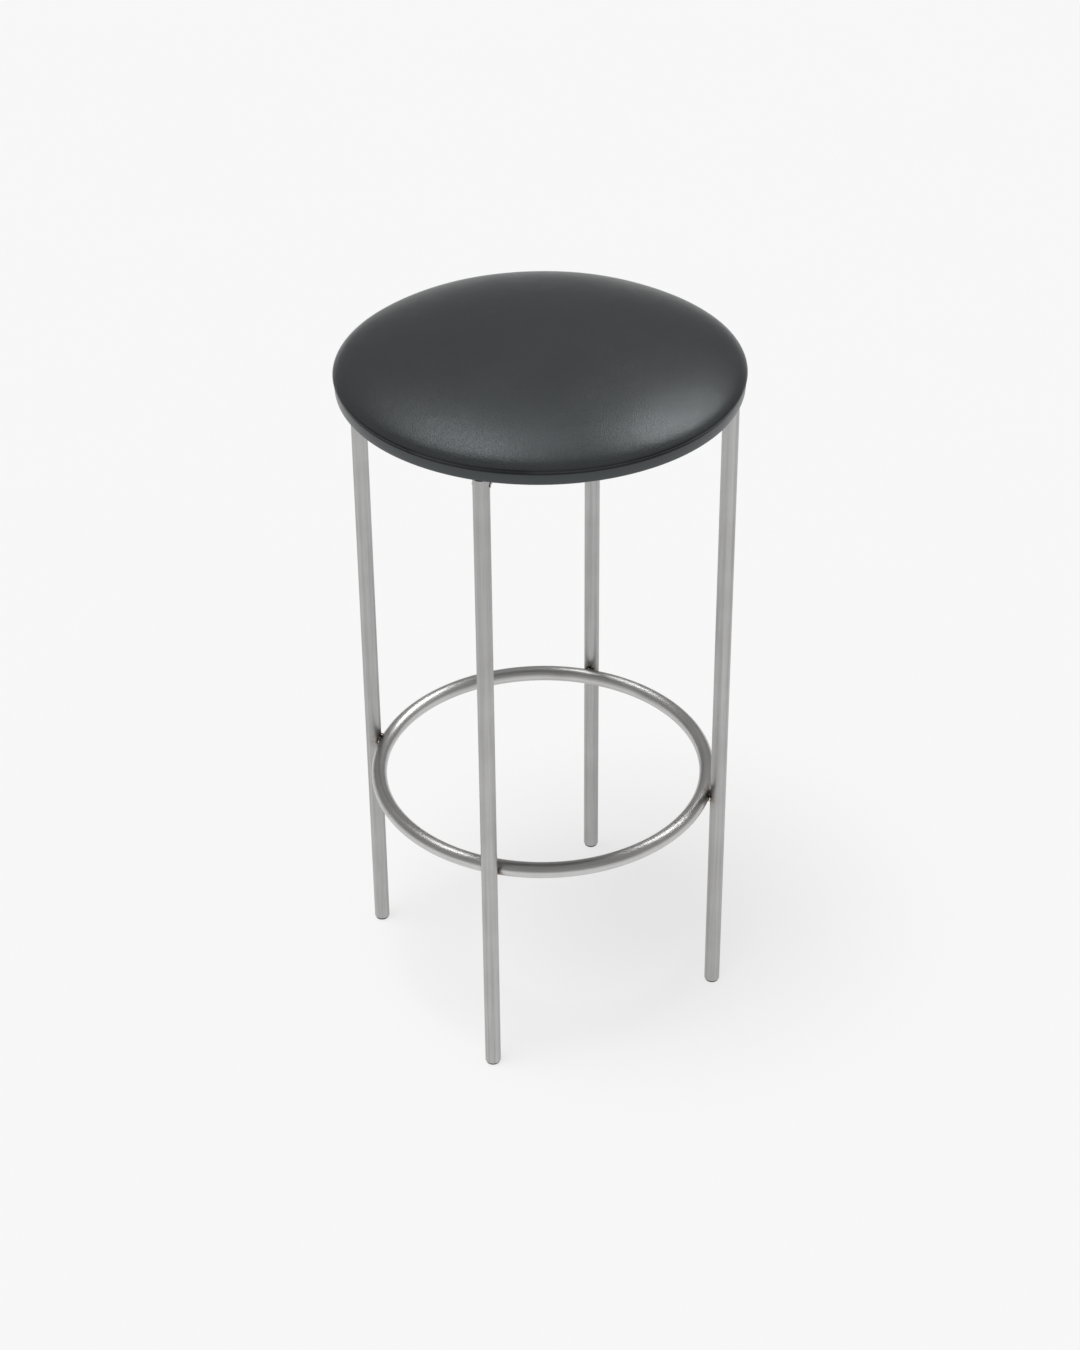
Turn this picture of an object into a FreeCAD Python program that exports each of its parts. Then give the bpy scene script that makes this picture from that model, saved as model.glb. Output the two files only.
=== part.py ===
import FreeCAD, Part

import math
import os

# Bar stool with a footrest ring, in millimetres. +Z is up, and the origin is on the floor under the middle
# of the seat. Four tube legs stand on the diagonals, with a welded cross of the same tube between their tops.
# The footrest is a rolled tube welded to the inside of the legs. The seat is a plywood board with a foam pad
# and a leather cover, held down by screws through the cross.

# Overall sizes
SEAT_HEIGHT = 754.0          # floor to the crown of the cushion
SEAT_DIAMETER = 398.0        # across the widest part of the cushion
LEG_INSET = 9.0              # from the band round the seat board in to the middle of a leg
FOOTREST_HEIGHT = 244.0      # floor to the middle of the ring's tube
LEG_ANGLES = {"front_left": 225.0, "front_right": 315.0, "back_right": 45.0, "back_left": 135.0}

# Tube and welds
TUBE_DIAMETER = 16.0
TUBE_WALL = 1.5
LEG_END_ROUND = 0.8
ROOT_GAP = 0.3               # left between two tubes for the weld to fill
WELD_SIZE = 1.4              # how far a weld reaches from each of the two surfaces it joins
WELD_END_OFFSET = 1.5        # a bar's welds stop this far before the other tube's widest line
WELD_TOP_GAP = 0.4           # the welds under the seat are ground to this far below the tops of the legs
SEAM_GAP = 1.5               # between the ends of the rolled ring
SEAM_ANGLE = 33.0            # place of that seam, beside the back right leg

# Foot glides
GLIDE_HEAD_HEIGHT = 2.6
GLIDE_HEAD_INSET = 0.8       # the head is this much smaller in radius than the tube
GLIDE_EDGE_ROUND = 1.6
GLIDE_STEM_LENGTH = 16.0
GLIDE_CORE_INSET = 1.0       # the stem's core is this much smaller in radius than its ribs
GLIDE_FIT = 0.05
RIB_COUNT = 4
RIB_THICKNESS = 1.2

# Seat
BOARD_THICKNESS = 12.0
PAD_HEIGHT = 36.6
COVER_THICKNESS = 1.2
COVER_CLEARANCE = 0.2        # between the cover and what it wraps
CLOTH_THICKNESS = 0.6
CLOTH_INSET = 9.0            # from the band to the edge of the dust cloth
HEM_WIDTH = 27.0             # of cover folded in under the board
BULGE = 3.0                  # of the cushion past the band round the board
BULGE_RISE = 4.0             # from the crease up to the widest part
CROWN_FULLNESS = 0.5         # from the widest part to the crown: 0 is straight, 0.71 a quarter ellipse
CREASE_DEPTH = 1.4
CREASE_HEIGHT = 2.0
BAND_EDGE_ROUND = 2.0

# Staples: wire width, wire thickness, crown length, leg length
HEM_STAPLE = (1.2, 0.6, 10.0, 8.0)
HEM_STAPLE_COUNT = 36
HEM_STAPLE_INSET = 22.0      # from the band
CLOTH_STAPLE = (0.9, 0.4, 8.0, 6.0)
CLOTH_STAPLE_COUNT = 24
CLOTH_STAPLE_INSET = 4.0     # from the edge of the dust cloth

# Seat screws, saddle washers and tee nuts
SCREW_CIRCLE_RADIUS = 95.0
SCREW_DIAMETER = 6.0
SCREW_TIP_GAP = 2.0          # from the tip up to the top of the board
SCREW_HOLE_CLEARANCE = 0.3   # in radius
THREAD_FIT = 0.05            # in radius
HEAD_OVERHANG = 2.25         # of the head past the shank, in radius
HEAD_HEIGHT = 3.3
HEAD_ROUND = 2.3
SOCKET_ACROSS_FLATS = 4.0
SOCKET_DEPTH = 2.0
WASHER_MARGIN = 1.75         # of the washer past the screw's head, in radius
WASHER_THICKNESS = 2.0       # at its thinnest, under the middle of the bar
WASHER_WRAP = 4.0            # how far the washer comes up the sides of the bar
TEE_FLANGE_MARGIN = 5.5      # of the flange past the barrel, in radius
TEE_FLANGE_THICKNESS = 1.5
TEE_BARREL_WALL = 0.95
TEE_BARREL_GAP = 0.5         # from the end of the barrel to the underside of the board
PRONG_COUNT = 4
PRONG_WIDTH = 3.0
PRONG_THICKNESS = 1.2
PRONG_LENGTH = 6.0

# Radii that follow from the sizes above
tube_radius = TUBE_DIAMETER / 2
bore_radius = tube_radius - TUBE_WALL
weld_reach = tube_radius + WELD_SIZE
cushion_radius = SEAT_DIAMETER / 2
band_radius = cushion_radius - BULGE
leg_circle_radius = band_radius - LEG_INSET
ring_radius = leg_circle_radius - TUBE_DIAMETER - ROOT_GAP
crease_radius = band_radius - CREASE_DEPTH
cloth_radius = band_radius - CLOTH_INSET
screw_radius = SCREW_DIAMETER / 2
screw_hole_radius = screw_radius + SCREW_HOLE_CLEARANCE
screw_head_radius = screw_radius + HEAD_OVERHANG
thread_radius = screw_radius + THREAD_FIT
barrel_radius = thread_radius + TEE_BARREL_WALL
flange_radius = barrel_radius + TEE_FLANGE_MARGIN

# Heights that follow from the sizes above
board_top = SEAT_HEIGHT - COVER_THICKNESS - COVER_CLEARANCE - PAD_HEIGHT
board_bottom = board_top - BOARD_THICKNESS
hem_top = board_bottom - COVER_CLEARANCE
hem_bottom = hem_top - COVER_THICKNESS
frame_top = hem_bottom - CLOTH_THICKNESS
bar_height = frame_top - tube_radius
widest_height = board_top + BULGE_RISE
washer_bottom = frame_top - TUBE_DIAMETER - WASHER_THICKNESS

UP = FreeCAD.Vector(0, 0, 1)
MIDDLE = FreeCAD.Vector(0, 0, 0)


def point(radius, height, angle=0.0):
    """A point given by its distance from the stool's axis, its height and its direction in degrees."""
    turn = math.radians(angle)
    return FreeCAD.Vector(radius * math.cos(turn), radius * math.sin(turn), height)


def turned(shape, angle):
    """A copy of the shape, turned about the stool's axis."""
    copy = shape.copy()
    copy.rotate(MIDDLE, UP, angle)
    return copy


def evenly(shape, count, first=0.0):
    """Copies of the shape, spaced evenly round the stool's axis."""
    return [turned(shape, first + 360.0 * step / count) for step in range(count)]


def revolved(edges):
    """The solid swept by a closed outline in the XZ plane about the stool's axis."""
    return Part.Face(Part.Wire(Part.sortEdges(edges)[0])).revolve(MIDDLE, UP, 360)


def outline(*corners):
    """Straight edges through (radius, height) corners, left open."""
    points = [point(*corner) for corner in corners]
    return [Part.makeLine(start, end) for start, end in zip(points, points[1:])]


def conic(start, corner, end, fullness=math.sqrt(0.5)):
    """A curve tangent at both ends to the lines that meet at the corner; a quarter ellipse by default."""
    curve = Part.BezierCurve()
    curve.setPoles([start, corner, end])
    curve.setWeight(2, fullness)
    return curve.toShape()


# Frame

def leg_cylinder(radius):
    """The full length of a leg as a plain cylinder, in direction 0."""
    length = frame_top - GLIDE_HEAD_HEIGHT
    return Part.makeCylinder(radius, length, point(leg_circle_radius, GLIDE_HEAD_HEIGHT), UP)


def leg():
    tube = leg_cylinder(tube_radius)
    foot_edge = [edge for edge in tube.Edges if edge.BoundBox.ZMax < GLIDE_HEAD_HEIGHT + LEG_END_ROUND]
    return tube.makeFillet(LEG_END_ROUND, foot_edge).cut(leg_cylinder(bore_radius))


def bar_cylinder(radius, start, end):
    """A level cylinder along direction 0, between two distances from the stool's axis."""
    along = point(1, 0)
    return Part.makeCylinder(radius, end - start, point(start, bar_height), along)


def crossing_cylinder(radius):
    """A level cylinder through the stool's axis, at right angles to direction 0."""
    half = leg_circle_radius / 2
    return Part.makeCylinder(radius, 2 * half, point(half, bar_height, 270), point(1, 0, 90))


def ground_off(shape):
    """The weld with its top ground away, so that the seat rests on the tubes alone."""
    reach = SEAT_DIAMETER
    corner = FreeCAD.Vector(-reach, -reach, frame_top - WELD_TOP_GAP)
    return shape.cut(Part.makeBox(2 * reach, 2 * reach, TUBE_DIAMETER, corner))


def screw_holes():
    """The clearance holes for all four seat screws."""
    bottom = washer_bottom - HEAD_HEIGHT
    hole = Part.makeCylinder(screw_hole_radius, board_top - bottom, point(SCREW_CIRCLE_RADIUS, bottom), UP)
    return evenly(hole, len(LEG_ANGLES), 45)


def long_bar():
    """The bar through the middle, coped to the legs at both of its ends."""
    reach = leg_circle_radius
    bar = bar_cylinder(tube_radius, -reach, reach).cut(bar_cylinder(bore_radius, -reach, reach))
    coping = leg_cylinder(tube_radius + ROOT_GAP)
    return bar.cut([coping, turned(coping, 180)])


def short_bar():
    """A bar from the long bar to one leg, coped to both."""
    reach = leg_circle_radius
    bar = bar_cylinder(tube_radius, 0, reach).cut(bar_cylinder(bore_radius, 0, reach))
    return bar.cut([leg_cylinder(tube_radius + ROOT_GAP), crossing_cylinder(tube_radius + ROOT_GAP)])


def weld(tube_a, tube_b, grown_a, grown_b):
    """A weld fills the space that lies within WELD_SIZE of both surfaces and outside both tubes."""
    return grown_a.common(grown_b).cut([tube_a, tube_b])


def bar_leg_weld():
    start, end = leg_circle_radius - TUBE_DIAMETER, leg_circle_radius - WELD_END_OFFSET
    bead = weld(leg_cylinder(tube_radius), bar_cylinder(tube_radius, start, end),
                leg_cylinder(weld_reach), bar_cylinder(weld_reach, start, end))
    return ground_off(bead)


def bar_centre_weld():
    start, end = WELD_END_OFFSET, TUBE_DIAMETER
    bead = weld(crossing_cylinder(tube_radius), bar_cylinder(tube_radius, start, end),
                crossing_cylinder(weld_reach), bar_cylinder(weld_reach, start, end))
    return ground_off(bead)


def ring_torus(radius):
    return Part.makeTorus(ring_radius, radius, point(0, FOOTREST_HEIGHT), UP)


def ring_leg_weld():
    return weld(leg_cylinder(tube_radius), ring_torus(tube_radius),
                leg_cylinder(weld_reach), ring_torus(weld_reach))


def ring_section(start_angle, sweep):
    """A stretch of the ring's tube, from one direction round to another."""
    centre = point(ring_radius, FOOTREST_HEIGHT)
    along = point(1, 0, 90)
    outside, bore = (Part.Face(Part.Wire(Part.makeCircle(radius, centre, along))).revolve(MIDDLE, UP, sweep)
                     for radius in (tube_radius, bore_radius))
    return turned(outside.cut(bore), start_angle)


# Foot glides

def glide():
    """A round head that the leg stands on, and a ribbed stem inside the tube."""
    head_radius = tube_radius - GLIDE_HEAD_INSET
    flat_radius = head_radius - GLIDE_EDGE_ROUND
    rib_radius = bore_radius - GLIDE_FIT
    core_radius = rib_radius - GLIDE_CORE_INSET
    stem_top = GLIDE_HEAD_HEIGHT + GLIDE_STEM_LENGTH
    side_edge = point(head_radius, GLIDE_EDGE_ROUND)
    edges = outline((0, stem_top), (0, 0), (flat_radius, 0))
    edges.append(conic(point(flat_radius, 0), point(head_radius, 0), side_edge))
    edges += outline((head_radius, GLIDE_EDGE_ROUND), (head_radius, GLIDE_HEAD_HEIGHT),
                     (core_radius, GLIDE_HEAD_HEIGHT), (core_radius, stem_top), (0, stem_top))
    body = revolved(edges)
    pitch = GLIDE_STEM_LENGTH / RIB_COUNT
    rib_bottoms = [stem_top - pitch * step - RIB_THICKNESS for step in range(RIB_COUNT)]
    ribs = [Part.makeCylinder(rib_radius, RIB_THICKNESS, point(0, height), UP) for height in rib_bottoms]
    whole = body.fuse(ribs).removeSplitter()
    whole.translate(point(leg_circle_radius, 0))
    return whole


# Seat

def cushion_edges(inset):
    """The cushion's outline from the crease up to the crown, moved in from the outside of the cover."""
    crease = point(crease_radius - inset, board_top + inset)
    widest = point(cushion_radius - inset, widest_height)
    crown = point(0, SEAT_HEIGHT - inset)
    bulge = conic(crease, point(widest.x, crease.z), widest)
    return [bulge, conic(widest, point(widest.x, crown.z), crown, CROWN_FULLNESS)]


def seat_cover():
    """The leather: over the cushion, in at the crease, down the band and folded in under the board."""
    lining_radius = band_radius - COVER_THICKNESS
    crease_lining = crease_radius - COVER_THICKNESS
    hem_radius = band_radius - HEM_WIDTH
    shoulder = board_top - CREASE_HEIGHT
    lower_round = hem_bottom + BAND_EDGE_ROUND
    edges = cushion_edges(0)
    edges.append(conic(point(band_radius, shoulder), point(band_radius, board_top),
                       point(crease_radius, board_top)))
    edges += outline((band_radius, shoulder), (band_radius, lower_round))
    edges.append(conic(point(band_radius, lower_round), point(band_radius, hem_bottom),
                       point(band_radius - BAND_EDGE_ROUND, hem_bottom)))
    edges += outline((band_radius - BAND_EDGE_ROUND, hem_bottom), (hem_radius, hem_bottom),
                     (hem_radius, hem_top), (lining_radius, hem_top), (lining_radius, shoulder),
                     (crease_lining, board_top), (crease_lining, board_top + COVER_THICKNESS))
    edges += cushion_edges(COVER_THICKNESS)
    edges += outline((0, SEAT_HEIGHT - COVER_THICKNESS), (0, SEAT_HEIGHT))
    return revolved(edges)


def seat_pad():
    inset = COVER_THICKNESS + COVER_CLEARANCE
    side = crease_radius - inset
    edges = outline((0, SEAT_HEIGHT - inset), (0, board_top), (side, board_top), (side, board_top + inset))
    return revolved(edges + cushion_edges(inset))


def seat_board():
    inset = COVER_THICKNESS + COVER_CLEARANCE
    side = band_radius - inset
    return revolved(outline((0, board_bottom), (side, board_bottom), (side, board_top - CREASE_HEIGHT),
                            (crease_radius - inset, board_top), (0, board_top), (0, board_bottom)))


def staple(sizes, radius, surface):
    """A staple driven up until its crown is flush with the surface, with the crown across the radius."""
    width, thickness, crown, leg_length = sizes
    corner = FreeCAD.Vector(radius - width / 2, -crown / 2, surface)
    bridge = Part.makeBox(width, crown, thickness, corner)
    legs = [Part.makeBox(width, thickness, leg_length, corner + FreeCAD.Vector(0, shift, 0))
            for shift in (0, crown - thickness)]
    return bridge.fuse(legs).removeSplitter()


def staples():
    """The two rings of staples: the cover's hem, and the dust cloth over it."""
    hem = staple(HEM_STAPLE, band_radius - HEM_STAPLE_INSET, hem_bottom)
    cloth = staple(CLOTH_STAPLE, cloth_radius - CLOTH_STAPLE_INSET, frame_top)
    hem_step = 360.0 / HEM_STAPLE_COUNT
    cloth_step = 360.0 / CLOTH_STAPLE_COUNT
    return (evenly(hem, HEM_STAPLE_COUNT, hem_step / 2), evenly(cloth, CLOTH_STAPLE_COUNT, cloth_step / 2))


def dust_cloth():
    cloth = Part.makeCylinder(cloth_radius, CLOTH_THICKNESS, point(0, frame_top), UP)
    return cloth.cut(screw_holes())


def tee_nut():
    """A flange let into the top of the board, a threaded barrel below it and prongs in the wood."""
    axis_x = SCREW_CIRCLE_RADIUS
    root = board_top - TEE_FLANGE_THICKNESS
    barrel_bottom = board_bottom + TEE_BARREL_GAP
    flange = Part.makeCylinder(flange_radius, TEE_FLANGE_THICKNESS, point(axis_x, root), UP)
    barrel = Part.makeCylinder(barrel_radius, root - barrel_bottom, point(axis_x, barrel_bottom), UP)
    nut = flange.fuse(barrel)
    prong_x = flange_radius - 2 * PRONG_THICKNESS
    for step in range(PRONG_COUNT):
        corners = [FreeCAD.Vector(axis_x + prong_x, across, height) for across, height in
                   ((-PRONG_WIDTH / 2, root), (PRONG_WIDTH / 2, root), (0, root - PRONG_LENGTH))]
        blade = Part.Face(Part.makePolygon(corners + corners[:1])).extrude(point(PRONG_THICKNESS, 0))
        blade.rotate(point(axis_x, 0), UP, 45 + 360.0 * step / PRONG_COUNT)
        nut = nut.fuse(blade)
    thread = Part.makeCylinder(thread_radius, BOARD_THICKNESS, point(axis_x, board_bottom), UP)
    return nut.removeSplitter().cut(thread)


def saddle_washer():
    """A round washer, flat below and hollowed above to fit the bar."""
    height = WASHER_THICKNESS + WASHER_WRAP
    foot = point(SCREW_CIRCLE_RADIUS, washer_bottom)
    blank = Part.makeCylinder(screw_head_radius + WASHER_MARGIN, height, foot, UP)
    hole = Part.makeCylinder(screw_hole_radius, height, foot, UP)
    return blank.cut([hole, bar_cylinder(tube_radius, 0, leg_circle_radius)])


def seat_screw():
    """A button-head screw with a hexagon socket, pointing up."""
    head_bottom = washer_bottom - HEAD_HEIGHT
    centre = point(SCREW_CIRCLE_RADIUS, washer_bottom)
    head = Part.makeCylinder(screw_head_radius, HEAD_HEIGHT, point(SCREW_CIRCLE_RADIUS, head_bottom), UP)
    rim = [edge for edge in head.Edges if edge.BoundBox.ZMax < washer_bottom - HEAD_HEIGHT / 2]
    head = head.makeFillet(HEAD_ROUND, rim)
    shank = Part.makeCylinder(screw_radius, board_top - SCREW_TIP_GAP - washer_bottom, centre, UP)
    corner_radius = SOCKET_ACROSS_FLATS / math.sqrt(3)
    corners = [point(corner_radius, head_bottom, 60 * step) for step in range(7)]
    socket = Part.Face(Part.makePolygon(corners)).extrude(UP * SOCKET_DEPTH)
    socket.translate(point(SCREW_CIRCLE_RADIUS, 0))
    return head.fuse(shank).removeSplitter().cut(socket)


def build():
    """Every node of the stool, by name."""
    nodes = {}
    for place, angle in LEG_ANGLES.items():
        nodes["leg_" + place] = turned(leg(), angle)
        nodes["glide_" + place] = turned(glide(), angle)

    holes = screw_holes()
    nodes["cross_bar_long"] = turned(long_bar(), LEG_ANGLES["front_right"]).cut(holes)
    for place in ("front_left", "back_right"):
        nodes["cross_bar_" + place] = turned(short_bar(), LEG_ANGLES[place]).cut(holes)

    seam_sweep = math.degrees(SEAM_GAP / ring_radius)
    nodes["footrest_ring"] = ring_section(SEAM_ANGLE + seam_sweep, 360 - seam_sweep)
    nodes["ring_butt_weld"] = ring_section(SEAM_ANGLE, seam_sweep)
    nodes["ring_leg_welds"] = Part.makeCompound(evenly(ring_leg_weld(), 4, 45))
    nodes["bar_leg_welds"] = Part.makeCompound(evenly(bar_leg_weld(), 4, 45))
    nodes["bar_centre_welds"] = Part.makeCompound(evenly(bar_centre_weld(), 2, 45))

    hem_staples, cloth_staples = staples()
    tee_nuts = evenly(tee_nut(), 4, 45)
    nodes["seat_board"] = seat_board().cut(holes).cut(tee_nuts + hem_staples + cloth_staples)
    nodes["seat_foam"] = seat_pad()
    nodes["seat_cover"] = seat_cover().cut(hem_staples + cloth_staples)
    nodes["dust_cloth"] = dust_cloth().cut(cloth_staples)
    nodes["hem_staples"] = Part.makeCompound(hem_staples)
    nodes["cloth_staples"] = Part.makeCompound(cloth_staples)
    nodes["tee_nuts"] = Part.makeCompound(tee_nuts)
    nodes["saddle_washers"] = Part.makeCompound(evenly(saddle_washer(), 4, 45))
    nodes["seat_screws"] = Part.makeCompound(evenly(seat_screw(), 4, 45))
    return nodes


os.makedirs("parts", exist_ok=True)
for node_name, shape in build().items():
    shape.exportStep(f"parts/{node_name}.step")
    print(node_name, len(shape.Solids), "solids", round(shape.Volume), "mm3", shape.isValid())
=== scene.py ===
import math

import bpy
import numpy as np
from mathutils import Matrix, Vector
from mathutils.bvhtree import BVHTree


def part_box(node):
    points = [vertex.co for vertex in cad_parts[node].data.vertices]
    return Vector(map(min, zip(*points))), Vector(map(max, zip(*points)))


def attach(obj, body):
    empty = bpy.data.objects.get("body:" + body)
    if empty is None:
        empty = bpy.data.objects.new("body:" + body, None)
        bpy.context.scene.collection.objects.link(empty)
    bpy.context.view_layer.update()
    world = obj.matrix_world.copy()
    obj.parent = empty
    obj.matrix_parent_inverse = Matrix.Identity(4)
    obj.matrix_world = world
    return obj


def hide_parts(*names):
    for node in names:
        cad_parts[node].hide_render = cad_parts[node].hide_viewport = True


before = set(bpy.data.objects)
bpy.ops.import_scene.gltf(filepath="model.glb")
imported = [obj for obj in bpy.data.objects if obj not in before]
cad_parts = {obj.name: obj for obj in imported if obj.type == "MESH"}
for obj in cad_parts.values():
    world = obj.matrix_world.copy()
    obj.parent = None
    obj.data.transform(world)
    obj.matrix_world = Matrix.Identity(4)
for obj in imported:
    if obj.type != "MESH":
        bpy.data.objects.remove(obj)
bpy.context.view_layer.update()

# The looks of the bar stool, in metres, round the CAD frame. The frame gives every size below that isn't
# a named value. The leather cover, the foam pad, the dust cloth and the weld beads are made here, and the
# steel, the glides, the board and the fasteners are the CAD's own, with new materials.

MM = 0.001


# Sizes read from the frame

def middle(node):
    low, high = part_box(node)
    return (low + high) / 2


def direction(node):
    """The direction of a node's middle from the stool's axis, in radians."""
    return math.atan2(middle(node).y, middle(node).x)


cover_low, cover_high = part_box("seat_cover")
board_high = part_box("seat_board")[1]
cloth_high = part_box("dust_cloth")[1]
ring_low, ring_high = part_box("footrest_ring")

LEGS = ("leg_front_left", "leg_front_right", "leg_back_right", "leg_back_left")
LEG_ANGLES = [direction(leg) for leg in LEGS]
leg_circle = middle(LEGS[0]).to_2d().length
ring_height = middle("footrest_ring").z
tube_radius = (ring_high.z - ring_low.z) / 2
ring_radius = ring_high.x - tube_radius
bar_height = middle("cross_bar_long").z

cushion_radius = cover_high.x
crown_height = cover_high.z
crease_height = board_high.z
hem_height = cover_low.z
cloth_radius = cloth_high.x

# Seat, the sizes that only the looks need
LEATHER_THICKNESS = 1.2 * MM
SHELL_SHARE = 0.85              # of that thickness, so that the shell stays clear of the foam
COVER_GAP = 0.2 * MM            # between the leather and what it wraps
CUSHION_EASE = 1.2 * MM         # from the CAD cushion in to the widest part here
CREASE_DEPTH = 0.7 * MM         # of the crease into the band
CREASE_DROP = 0.6 * MM          # of the crease below the top of the board
SHOULDER = 2.4 * MM             # from the crease down to the band
BULGE_RISE = 1.8 * MM           # from the top of the board up to the widest part
CROWN_FULLNESS = 0.5
QUARTER_ELLIPSE = math.sqrt(0.5)
BAND_ROUND = 2.2 * MM
BAND_SWELLING = 0.25 * MM
HEM_WIDTH = 26.0 * MM
band_radius = board_high.x + LEATHER_THICKNESS + COVER_GAP

# Rows of points down the cover, and points in each row
CROWN_ROWS = 46
FOLD_ROWS = 12
SHOULDER_ROWS = 9
BAND_ROWS = 6
LOWER_EDGE_ROWS = 6
HEM_ROWS = 16
SEAT_SEGMENTS = 240


# Mesh helpers

def new_object(name, vertices, faces, smooth=True):
    mesh = bpy.data.meshes.new(name)
    mesh.from_pydata([tuple(map(float, v)) for v in vertices], [], faces)
    mesh.update()
    if smooth:
        mesh.polygons.foreach_set("use_smooth", [True] * len(mesh.polygons))
    made = bpy.data.objects.new(name, mesh)
    bpy.context.scene.collection.objects.link(made)
    return made


def conic(start, corner, end, fullness, count):
    """Points on the curve from start to end that is tangent to the lines through the corner."""
    t = np.linspace(0, 1, count)[:, None]
    weights = (1 - t) ** 2, 2 * fullness * t * (1 - t), t ** 2
    total = weights[0] + weights[1] + weights[2]
    points = weights[0] * np.array(start) + weights[1] * np.array(corner) + weights[2] * np.array(end)
    return points / total


def grid_faces(rows, columns, closed_rows=False):
    """Quads over a grid of points whose columns run all the way round."""
    last = rows if closed_rows else rows - 1
    return [(row * columns + column,
             (row + 1) % rows * columns + column,
             (row + 1) % rows * columns + (column + 1) % columns,
             row * columns + (column + 1) % columns)
            for row in range(last) for column in range(columns)]


def fan_faces(centre, first, columns, flip=False):
    """Triangles from one point to a ring of points."""
    ring = [(first + column, first + (column + 1) % columns) for column in range(columns)]
    return [(centre, b, a) if flip else (centre, a, b) for a, b in ring]


def turned_grid(profile, columns):
    """The points of a (radius, height) profile turned about the stool's axis, as rows × columns × 3."""
    angles = np.linspace(0, 2 * math.pi, columns, endpoint=False)
    radius, height = profile[:, :1], profile[:, 1:]
    return np.stack([radius * np.cos(angles), radius * np.sin(angles), height + 0 * angles], axis=-1)


# Seat cushion

def smoothstep(low, high, value):
    t = np.clip((value - low) / (high - low), 0, 1)
    return t * t * (3 - 2 * t)


def dome_profile(crown, rows):
    """From the crown out to the widest part and in to the crease."""
    widest = (cushion_radius - CUSHION_EASE, crease_height + BULGE_RISE)
    crease = (band_radius - CREASE_DEPTH, crease_height - CREASE_DROP)
    top = conic((0, crown), (widest[0], crown), widest, CROWN_FULLNESS, rows)
    t = np.linspace(0, 1, FOLD_ROWS)
    fold = (1 - np.cos(math.pi * t)) / 2
    radii = widest[0] + (crease[0] - widest[0]) * fold
    heights = widest[1] + (crease[1] - widest[1]) * t
    bulge = np.stack([radii, heights], axis=1)
    return np.concatenate([top[1:], bulge[1:]])


# Where the leather was pulled harder when it was stapled: direction in degrees, depth in mm, width in degrees
PULLS = ((104, 1.7, 30), (22, 1.0, 22), (141, 0.4, 16), (188, 0.6, 20), (236, 0.3, 16),
         (282, 0.4, 20), (331, 0.4, 16))
PULL_START = 0.3                # share of the seat's radius inside which a pull doesn't show
PULL_FADE_BELOW = 3 * MM        # below the board's top, a pull is gone
PULL_FADE_ABOVE = 5 * MM        # above the board's top, a pull is whole
SMALLEST_RADIUS = 1 * MM        # keeps the points on the axis from being divided by nothing


def pulled_in(points):
    """The seat's points, drawn in a little at each pull, most at the widest part."""
    radius = np.hypot(points[..., 0], points[..., 1])
    angle = np.degrees(np.arctan2(points[..., 1], points[..., 0]))
    depth = np.zeros_like(radius)
    for direction, amount, width in PULLS:
        away = (angle - direction + 180) % 360 - 180
        depth += amount * MM * np.exp(-(away / width) ** 2)
    outside = smoothstep(PULL_START, 1.0, radius / cushion_radius)
    above = smoothstep(crease_height - PULL_FADE_BELOW, crease_height + PULL_FADE_ABOVE, points[..., 2])
    depth *= outside * above
    scale = 1 - depth / np.maximum(radius, SMALLEST_RADIUS)
    moved = points.copy()
    moved[..., 0] *= scale
    moved[..., 1] *= scale
    return moved


# The simulated cushion, and how its swelling is taken over
SIM_ROWS = 28
SIM_COLUMNS = 96
SIM_SINK = 3.5 * MM             # the form starts this much lower at the crown, because it swells
SIM_CAP = 5.0 * MM              # no point moves further than this
SIM_VOXEL = 5.0 * MM
SIM_FRAMES = 20
SIM_PIN_HEIGHT = 1.5 * MM       # the form is held up to this far above the board
RAY_START = 15 * MM
RAY_LENGTH = 30 * MM
SWELL_WAVES = 9                 # only this many waves round the seat are kept, the even part among them
SWELL_SMOOTHING = 24            # rounds of smoothing from row to row
SWELL_FADE = 7 * MM             # above the board's top, the swelling is whole
CENTRE_ROWS = 6                 # the crown moves as one, by the mean of these rows
EVEN_ROWS = 10                  # and within these rows the unevenness grows from nothing
SHORTEST_NORMAL = 1e-12


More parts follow.
